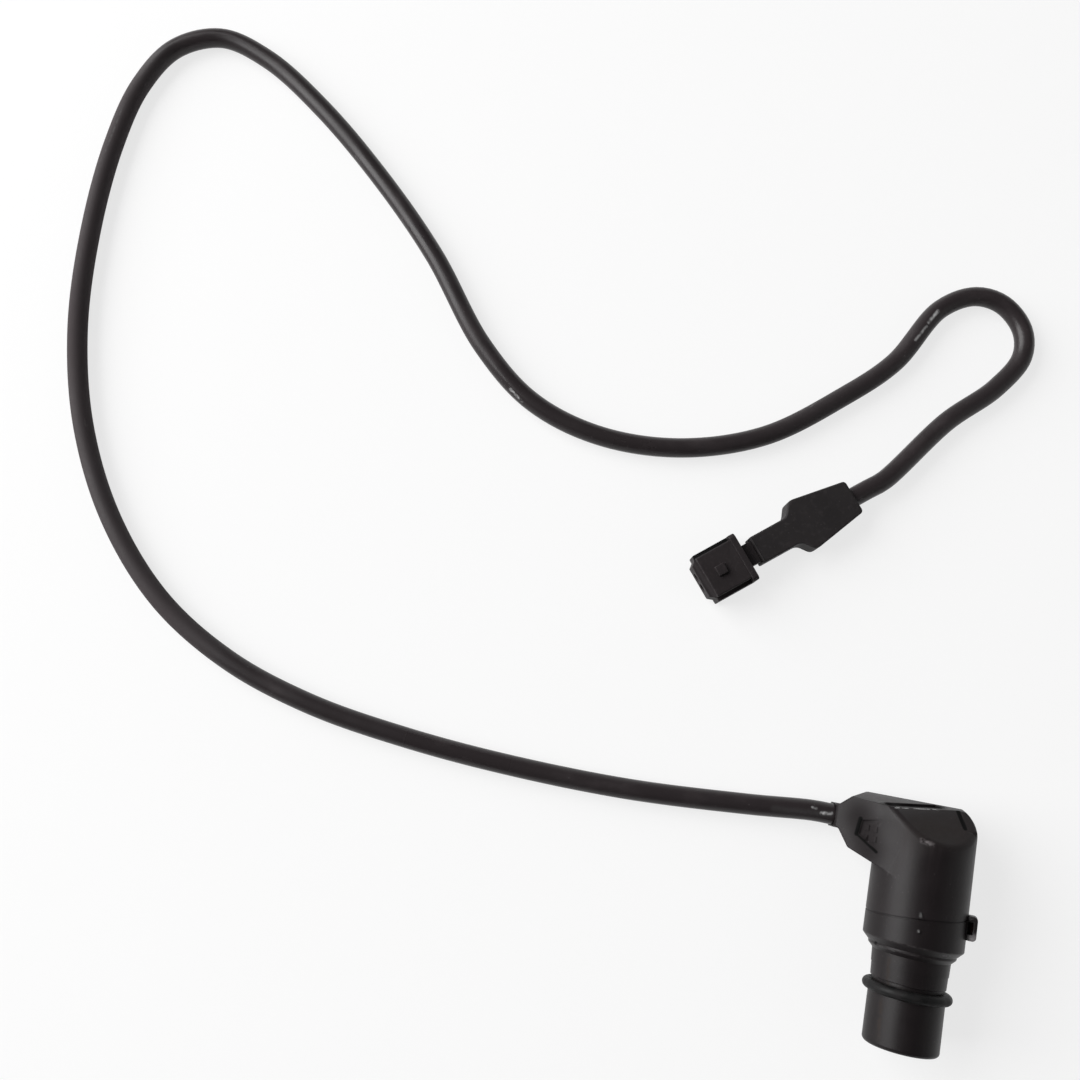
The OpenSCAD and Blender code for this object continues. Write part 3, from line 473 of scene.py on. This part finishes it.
# Sensor sleeve: black glass-filled plastic cup with the sensing end, neck, stepped collar and a slotted lug.
# It is moulded in one piece, so every edge is a little round.
# The neck and the barrel are drawn lengthwise out of the tool.
SEAM_Y = 30.8
SEAM_TILT = math.radians(6)
SEAM_REACH = 0.6
HEAD_R = 11.6 * MM
BEVEL_STEPS = 4
BEVEL_PROFILE = 0.5
WORN_WIDTHS = (0.1, 0.6)
MERGE_DISTANCE = 0.001 * MM
FLAT_ANGLE = math.radians(0.6)
SHARP_ANGLE = math.radians(28)
SMOOTH_ANGLE = math.radians(30)
ROUND_PLAY = 0.02 * MM
ROUND_LENGTH = 0.3 * MM
ROUND_FACING = 0.994
TRUE_FACING = 0.999
FLAT_END_SLOPE = 0.2
BLEND_HEIGHT = 0.4 * MM


def near(place, spots):
    """Whether a place in mm lies in one of the round spots."""
    return any((place - Vector(spot)).length < reach for spot, reach in spots)


def at_seam(place):
    """Whether a place in mm lies by the slanted seam between sleeve and head."""
    return abs(place.y - SEAM_Y - place.x * math.tan(SEAM_TILT)) < SEAM_REACH


def round_normals(mesh, blends):
    """Sets true normals on faces round about the barrel's axis, and the head's own where its flank runs out."""
    normals = [Vector(corner.vector) for corner in mesh.corner_normals]
    for face in mesh.polygons:
        slope = math.hypot(face.normal.x, face.normal.z)
        if slope < FLAT_END_SLOPE:
            continue
        facing = Vector((face.normal.x, 0, face.normal.z)) / slope
        places = [mesh.vertices[i].co for i in face.vertices]
        arms = [Vector((place.x, 0, place.z)) for place in places]
        heights = [place.y for place in places]
        levels = [slope * arm.length + face.normal.y * height for arm, height in zip(arms, heights)]
        is_round = (max(levels) - min(levels) < ROUND_PLAY and max(heights) - min(heights) > ROUND_LENGTH
                    and all(arm.normalized().dot(facing) > ROUND_FACING for arm in arms))
        for corner, place, arm in zip(face.loop_indices, places, arms):
            outward = arm.normalized()
            proud = arm.length - HEAD_R
            if near(place / MM, blends) and -ROUND_PLAY < proud < BLEND_HEIGHT:
                normals[corner] = outward
            elif is_round or abs(proud) < ROUND_PLAY and face.normal.dot(outward) > TRUE_FACING:
                normals[corner] = outward * slope + Vector((0, face.normal.y, 0))
    mesh.normals_split_custom_set(normals)


def softened(node, name, finish, width_at, blends=()):
    """Closed copy of a solid, its sharp edges rounded by the width in mm for each and marked for wear."""
    form = bmesh.new()
    form.from_mesh(node.data)
    bmesh.ops.remove_doubles(form, verts=form.verts, dist=MERGE_DISTANCE)
    bmesh.ops.dissolve_limit(form, angle_limit=FLAT_ANGLE, verts=form.verts, edges=form.edges)
    form.normal_update()
    worn = form.faces.layers.float.new("edge")
    groups = {}
    for edge in form.edges:
        if edge.is_convex and edge.calc_face_angle() > SHARP_ANGLE:
            place = (edge.verts[0].co + edge.verts[1].co) / 2 / MM
            groups.setdefault(width_at(place, edge), []).append(edge)
    done = set()
    for width in sorted(groups, reverse=True):
        corners = [edge for edge in groups[width] if edge.is_valid and done.isdisjoint(edge.verts)]
        if width == 0 or not corners:
            continue
        rounded = bmesh.ops.bevel(
            form, geom=corners, offset=width * MM, offset_type="OFFSET", segments=BEVEL_STEPS,
            profile=BEVEL_PROFILE, affect="EDGES", clamp_overlap=False)
        done.update(rounded["verts"])
        for face in rounded["faces"]:
            face[worn] = float(WORN_WIDTHS[0] < width < WORN_WIDTHS[1])
    bmesh.ops.triangulate(form, faces=[face for face in form.faces if len(face.verts) > 4])
    mesh = bpy.data.meshes.new(name)
    form.to_mesh(mesh)
    form.free()
    mesh.shade_smooth()
    mesh.set_sharp_from_angle(angle=SMOOTH_ANGLE)
    piece = bpy.data.objects.new(name, mesh)
    scene.collection.objects.link(piece)
    weighted = piece.modifiers.new("weighted", "WEIGHTED_NORMAL")
    weighted.keep_sharp = True
    piece.data = bpy.data.meshes.new_from_object(piece.evaluated_get(bpy.context.evaluated_depsgraph_get()))
    piece.modifiers.remove(weighted)
    round_normals(piece.data, blends)
    piece.data.materials.clear()
    piece.data.materials.append(finish)
    return piece


grain, given, made = new_tree(
    "moulded_grain", "ShaderNodeTree",
    [("Place", "NodeSocketVector", None), ("Scale", "NodeSocketFloat", 3000)],
    [("Height", "NodeSocketFloat"), ("Mottle", "NodeSocketFloat")])
fine = add_node(grain, "ShaderNodeTexNoise", {
    "Vector": given["Place"], "Scale": given["Scale"], "Detail": 5.0, "Roughness": 0.65})
grain.links.new(fine.outputs[0], made["Height"])
broad_scale = add_node(grain, "ShaderNodeMath", {0: given["Scale"], 1: 14.0}, operation="DIVIDE")
broad = add_node(grain, "ShaderNodeTexNoise", {
    "Vector": given["Place"], "Scale": broad_scale.outputs[0], "Detail": 6.0, "Roughness": 0.6})
spread = add_node(grain, "ShaderNodeMapRange", {"Value": broad.outputs[0], "From Min": 0.3, "From Max": 0.7})
grain.links.new(spread.outputs[0], made["Mottle"])

rubbed, given, made = new_tree(
    "rubbed_edges", "ShaderNodeTree",
    [("Edge", "NodeSocketFloat", 0.0), ("Place", "NodeSocketVector", None),
     ("Scale", "NodeSocketFloat", 700), ("Amount", "NodeSocketFloat", 0.5)],
    [("Mask", "NodeSocketFloat")])
patch = add_node(rubbed, "ShaderNodeTexNoise", {
    "Vector": given["Place"], "Scale": given["Scale"], "Detail": 4.0, "Roughness": 0.7})
bare = add_node(rubbed, "ShaderNodeMapRange", {"Value": patch.outputs[0], "From Min": 0.4, "From Max": 0.68})
at_edge = add_node(rubbed, "ShaderNodeMath", {0: bare.outputs[0], 1: given["Edge"]}, operation="MULTIPLY")
amount = add_node(rubbed, "ShaderNodeMath", {0: at_edge.outputs[0], 1: given["Amount"]}, operation="MULTIPLY")
rubbed.links.new(amount.outputs[0], made["Mask"])


def scaled(colour, factor):
    """A colour made darker or lighter."""
    return tuple(factor * c for c in colour[:3]) + (1,)


MOTTLE_DARK = 0.8
MOTTLE_ROUGHNESS = 0.02
STREAK_PALE = 1.4
STREAK_ROUGHNESS = 0.07
DUST_TONE = grey(0.07, 0.1)
DUST_COVER = 0.4


def moulded_finish(
        name, colour, roughness, grain_scale, wear, worn_colour, dust_share, marks, stretch=(1, 1, 1)):
    """Black moulding: fine grain, mottling, draw streaks, rubbed edges, dust and its own rub marks."""
    material, tree, shader = new_material(name, {"Specular IOR Level": 0.2})
    place = add_node(tree, "ShaderNodeTexCoord").outputs["Object"]
    edge = add_node(tree, "ShaderNodeAttribute", attribute_name="edge").outputs["Fac"]
    skin = use_group(tree, grain, {"Place": place, "Scale": grain_scale})
    lines = use_group(tree, streaks, {
        "Place": place, "Stretch": stretch, "Scale": 700, "Low": 0.5, "High": 0.8})["Mask"]
    worn = use_group(tree, rubbed, {"Edge": edge, "Place": place, "Scale": 500, "Amount": wear})["Mask"]
    dust = use_group(tree, specks, {"Place": place, "Scale": 1000, "Size": 0.2, "Share": dust_share})["Mask"]
    tone = mixed(tree, skin["Mottle"], scaled(colour, MOTTLE_DARK), colour)
    tone = mixed(tree, lines, tone, scaled(colour, STREAK_PALE))
    tone = mixed(tree, worn, tone, worn_colour)
    rough = plus(tree, ranged(tree, skin["Mottle"], roughness - MOTTLE_ROUGHNESS, roughness + MOTTLE_ROUGHNESS),
                 ranged(tree, lines, low=0.0, high=STREAK_ROUGHNESS))
    tone, rough = wear_and_painted_light_over(tree, place, marks, tone, rough)
    tone = mixed(tree, times(tree, dust, DUST_COVER), tone, DUST_TONE)
    tree.links.new(tone, shader.inputs["Base Color"])
    tree.links.new(rough, shader.inputs["Roughness"])
    tree.links.new(bumped(tree, skin["Height"], strength=0.5, depth=0.05 * MM), shader.inputs["Normal"])
    return material


DOT_AT = (-2.9, 27.9, 11.24)
DOT_REACH = 1.2
NECK_STEP_Y = 17.9
NECK_STEP_REACH = 1.2
LUG_X = 10
SEAM_ROUND = 0.05
SLEEVE_ROUND = 0.2
# Near-black for painted shade in recesses, slits and grooves, and for a dark spot on the step.
DARK = grey(0.0008)
# Red-brown of the shade painted inside the lug's slot.
SLOT_SHADE_RED = (0.03, 0.009, 0.007, 1)
# Brown tone painted in streaks down the left of the neck and the barrel.
BROWN_STREAK_TONE = (0.035, 0.022, 0.014, 1)


def sleeve_width(place, edge):
    """Rounding of the sleeve's edges: none at the dot and the neck's fine step, hardly any at the seam."""
    if near(place, [(DOT_AT, DOT_REACH)]) or abs(place.y - NECK_STEP_Y) < NECK_STEP_REACH:
        return 0
    return SEAM_ROUND if at_seam(place) and place.x < LUG_X else SLEEVE_ROUND


SLEEVE_MARKS = {
    "pale dot": WearAndPaintedLight(DOT_AT, (-2.9, 28.0, 11.24), 0.45, 0.9, grey(0.3)),
    # A near-black spot painted on the step.
    "dark spot on the step": WearAndPaintedLight((-9.5, 22.9, 3.3), (-9.7, 22.5, 2.9), 0.6, 1.0, DARK),
    # Painted highlights: pale glints on the collar's step and chamfer.
    "painted glint on the step": WearAndPaintedLight((-9.0, 22.3, 4.3), (-6.5, 22.3, 7.5), 0.45, 0.6, grey(0.12), 1.0),
    "painted glint on the chamfer": WearAndPaintedLight((2.8, 23.7, 10.4), (5.5, 23.7, 9.6), 0.4, 0.9, grey(0.3), 1.0),
    "pale lug end": WearAndPaintedLight((11.4, 28.0, 6.4), (12.8, 28.9, 5.9), 1.5, 0.9, grey(0.35, 0.05), 0.3),
    "pale lug edge": WearAndPaintedLight((12.9, 32.4, 5.6), (12.9, 29.5, 5.6), 0.6, 0.7, grey(0.25), 0.6),
    # Painted shade: dark red-brown painted into the lug's slot.
    "painted red-brown shade in the slot": WearAndPaintedLight((11.9, 30.9, 4.0), (11.9, 29.7, 4.0), 1.3, 0.9, SLOT_SHADE_RED),
    # Brownish streaks painted down the left of the neck and the barrel.
    "brown streak on the neck": WearAndPaintedLight((-6.6, 20.0, 5.5), (-6.4, 14.5, 5.2), 0.9, 0.4, BROWN_STREAK_TONE, 0.6),
    "brown streak on the barrel": WearAndPaintedLight((-7.2, 10.5, 5.0), (-7.0, 2.0, 5.2), 1.0, 0.3, BROWN_STREAK_TONE, 0.8),
}
sleeve_black = moulded_finish(
    "sleeve_black", colour=grey(0.0075, 0.3), roughness=0.41, grain_scale=3200, wear=0.35,
    worn_colour=grey(0.08, 0.1), dust_share=0.12, marks=SLEEVE_MARKS, stretch=(1, 0.05, 1))
sleeve = softened(nodes["sensor_sleeve"], "sleeve", sleeve_black, sleeve_width)
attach(sleeve, "root")
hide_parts("sensor_sleeve")


# Head: black plastic moulded over the sleeve's top, the coil's wires and the cable's end in one shot.
# It has a slanted roof, a front facet with a rim, and a wedge-shaped outlet with a pocket in its flank.
ARROW = ((-2.86, 31.5, 11.24), 1.8)
POCKET = ((-13.8, 47.5, 1.6), 4.0)
FLANK_END = ((-8.4, 38.6, 8.0), 5.0)
RIM_SPOTS = [((6.1, 56.3, 2.2), 1.6), ((6.6, 54.6, 4.0), 1.6), ((7.0, 52.6, 6.0), 1.6)]
BORE_X = -18
BORE_REACH = 3.2
FACET_FACING = Vector((0.06, 0.72, 0.69)).normalized()
FACET_LOW_Z = 5.8
ROOF_Y = 55.3
ROOF_X = -11.5
RIM_ROUND = 0.05
FACET_ROUND = 1.2
ROOF_ROUND = 0.12
HEAD_ROUND = 0.45
# Lighter brown tone painted over the front facet.
FACET_BROWN_TONE = (0.024, 0.019, 0.017, 1)


def head_width(place, edge):
    """Rounding of the head's edges: broad below the facet, small on roof and rim, none at marks and pads."""
    at_bore = (place - EXIT / MM).yz.length < BORE_REACH and place.x < BORE_X
    if at_bore or near(place, [ARROW, POCKET, FLANK_END]):
        return 0
    if at_seam(place):
        return SEAM_ROUND
    if near(place, RIM_SPOTS):
        return RIM_ROUND
    if place.z > FACET_LOW_Z and any(face.normal.dot(FACET_FACING) > TRUE_FACING for face in edge.link_faces):
        return FACET_ROUND
    return ROOF_ROUND if place.y > ROOF_Y and place.x > ROOF_X else HEAD_ROUND


HEAD_MARKS = {
    # A lighter brown tone painted over the front facet.
    "brown facet": WearAndPaintedLight((-3.0, 51.0, 8.6), (5.0, 52.0, 7.0), 8.0, 0.5, FACET_BROWN_TONE, 0.3),
    # Painted shade: darkens the outlet's flank a little as well as dulling it.
    "dull outlet flank with painted shade": WearAndPaintedLight((-16.2, 50.5, -0.5), (-13.6, 43.5, 2.0), 6.5, 0.7, grey(0.008, 0.3)),
    # Painted highlight: a soft pale line where the flank blends into the head.
    "painted highlight along the crease": WearAndPaintedLight((-8.6, 44.7, 7.9), (-9.9, 38.9, 6.1), 0.5, 0.25, grey(0.07, 0.05), 0.4),
    "scuff below the facet": WearAndPaintedLight((-4.4, 48.2, 10.8), (-2.2, 47.8, 11.3), 1.0, 0.7, grey(0.17, 0.1), 1.0),
    # Painted reflection over some wear: a pale strip on the outlet's roof.
    "painted sheen and wear on the roof": WearAndPaintedLight((-14.6, 56.1, -4.9), (-9.2, 55.9, -1.2), 3.4, 0.45, grey(0.16, 0.08), 0.25),
    # Painted shade: near-black in the recess behind the facet.
    "painted shade in the recess": WearAndPaintedLight((-10.66, 54.33, 2.67), (2.4, 55.97, -0.11), 2.5, 1.0, DARK),
    "worn fold": WearAndPaintedLight((-9.9, 54.47, 5.43), (1.3, 55.88, 3.05), 0.32, 1.0, grey(0.4), 1.0),
    # Painted shadow: near-black in the slit at the facet's right end.
    "painted shadow in the slit": WearAndPaintedLight((6.2, 56.2, 2.3), (6.9, 52.6, 6.0), 0.7, 2.5, DARK),
    # Painted shade: near-black along the outlet pocket's back and side walls.
    "painted shade by the pocket's back": WearAndPaintedLight((-16.0, 50.2, -0.1), (-16.4, 46.6, -0.5), 0.8, 2.5, DARK),
    "painted shade by the pocket's side": WearAndPaintedLight((-16.4, 46.6, -0.5), (-12.4, 43.3, 3.6), 0.5, 2.5, DARK),
    "pale arrow": WearAndPaintedLight((-2.95, 31.4, 11.45), (-2.95, 31.9, 11.45), 0.6, 0.7, grey(0.12), 0.4),
}
head_black = moulded_finish(
    "head_black", colour=grey(0.009, 0.3), roughness=0.42, grain_scale=2600, wear=0.22,
    worn_colour=grey(0.08, 0.12), dust_share=0.12, marks=HEAD_MARKS, stretch=(1, 0.1, 1))
head = softened(nodes["head_overmould"], "head", head_black, head_width, blends=[FLANK_END])
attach(head, "root")
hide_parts("head_overmould")


# Boot: soft black moulding that grips the cable and narrows to the strip round the housing's tail.
# Its skin is dull from the tool, with small pits.
BOOT_ROUND = 0.5
boot_black = moulded_finish(
    "boot_black", colour=grey(0.017, 0.15), roughness=0.62, grain_scale=2200, wear=0.25,
    worn_colour=grey(0.05, 0.1), dust_share=0.3, marks={})
boot = softened(nodes["connector_boot"], "boot", boot_black, lambda place, edge: BOOT_ROUND)
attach(boot, "root")
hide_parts("connector_boot")


# Plug housing: harder black plastic with a raised rear lip, two side rails, a front tongue and a square nub.
# Moulded, then pushed into the strip; its corners are a little rubbed, and shade is painted dark along one
# rail.
HOUSING_ROUND = 0.22
# Painted shade: near-black in the groove between the upper rail and the top.
HOUSING_MARKS = {"painted shade along the rail": WearAndPaintedLight((-65.6, 107.2, -5.2), (-58.6, 112.9, -5.2), 1.3, 2.0, DARK)}
housing_black = moulded_finish(
    "housing_black", colour=grey(0.016, 0.25), roughness=0.6, grain_scale=2800, wear=0.25,
    worn_colour=grey(0.06, 0.15), dust_share=0.25, marks=HOUSING_MARKS)
housing = softened(nodes["connector_housing"], "housing", housing_black, lambda place, edge: HOUSING_ROUND)
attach(housing, "root")
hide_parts("connector_housing")


# Contacts and other metal: rolled brass sockets and blades, tinned splices and soft iron pin and plate.
# The magnet is sintered, and the coil is wound from enamelled copper wire.
# Only the contacts' mouths show, in the plug's front.
METAL_DULLED = 0.7
METAL_DULL_ROUGHNESS = 0.2


def metal_finish(name, colour, roughness, stretch):
    """Bare metal with fine working lines and dull patches."""
    material, tree, shader = new_material(name, {"Metallic": 1.0})
    place = add_node(tree, "ShaderNodeTexCoord").outputs["Object"]
    lines = use_group(tree, streaks, {
        "Place": place, "Stretch": stretch, "Scale": 2500, "Low": 0.4, "High": 0.7})["Mask"]
    dull = use_group(tree, streaks, {"Place": place, "Scale": 350, "Low": 0.4, "High": 0.7})["Mask"]
    tree.links.new(mixed(tree, dull, colour, scaled(colour, METAL_DULLED)), shader.inputs["Base Color"])
    tree.links.new(ranged(tree, dull, roughness, roughness + METAL_DULL_ROUGHNESS), shader.inputs["Roughness"])
    tree.links.new(bumped(tree, lines, strength=0.2, depth=0.01 * MM), shader.inputs["Normal"])
    return material


brass = metal_finish("rolled_brass", (0.62, 0.45, 0.17, 1), roughness=0.3, stretch=(1, 0.1, 1))
tinned = metal_finish("tinned_metal", (0.62, 0.62, 0.6, 1), roughness=0.32, stretch=(0.1, 1, 1))
soft_iron = metal_finish("soft_iron", (0.42, 0.42, 0.43, 1), roughness=0.4, stretch=(1, 0.05, 1))
sintered = metal_finish("sintered_magnet", (0.2, 0.2, 0.21, 1), roughness=0.55, stretch=(1, 1, 1))
copper = metal_finish("enamelled_wire", (0.45, 0.18, 0.07, 1), roughness=0.3, stretch=(0.02, 1, 0.02))
finishes = {
    "contact_left": brass, "contact_right": brass, "terminal_left": brass, "terminal_right": brass,
    "splice_left": tinned, "splice_right": tinned, "pole_pin": soft_iron, "flux_plate": soft_iron,
    "magnet": sintered, "coil_winding": copper,
}


# Soft and natural pieces inside: silicone wire seals, the cores' insulation and the coil's bobbin.
# Moulded or extruded in their own colours, and closed in by the mouldings.
MOULDING_DARK = 0.75
MOULDING_ROUGHNESS = 0.1


def plain_moulding(name, colour, roughness):
    """Coloured moulding or extrusion with faint mottling and grain."""
    material, tree, shader = new_material(name, {})
    place = add_node(tree, "ShaderNodeTexCoord").outputs["Object"]
    skin = use_group(tree, grain, {"Place": place, "Scale": 2500})
    tone = mixed(tree, skin["Mottle"], scaled(colour, MOULDING_DARK), colour)
    rough = ranged(tree, skin["Mottle"], roughness, roughness + MOULDING_ROUGHNESS)
    tree.links.new(tone, shader.inputs["Base Color"])
    tree.links.new(rough, shader.inputs["Roughness"])
    tree.links.new(bumped(tree, skin["Height"], strength=0.2, depth=0.02 * MM), shader.inputs["Normal"])
    return material


silicone = plain_moulding("seal_silicone", (0.4, 0.09, 0.05, 1), roughness=0.5)
red_core = plain_moulding("core_red", (0.45, 0.05, 0.03, 1), roughness=0.4)
white_core = plain_moulding("core_white", (0.75, 0.72, 0.66, 1), roughness=0.4)
natural = plain_moulding("bobbin_natural", (0.62, 0.56, 0.42, 1), roughness=0.45)
finishes |= {
    "wire_seal_left": silicone, "wire_seal_right": silicone, "coil_bobbin": natural,
    "head_core_left": red_core, "plug_core_left": red_core,
    "head_core_right": white_core, "plug_core_right": white_core,
}
for name, finish in finishes.items():
    nodes[name].data.materials.clear()
    nodes[name].data.materials.append(finish)
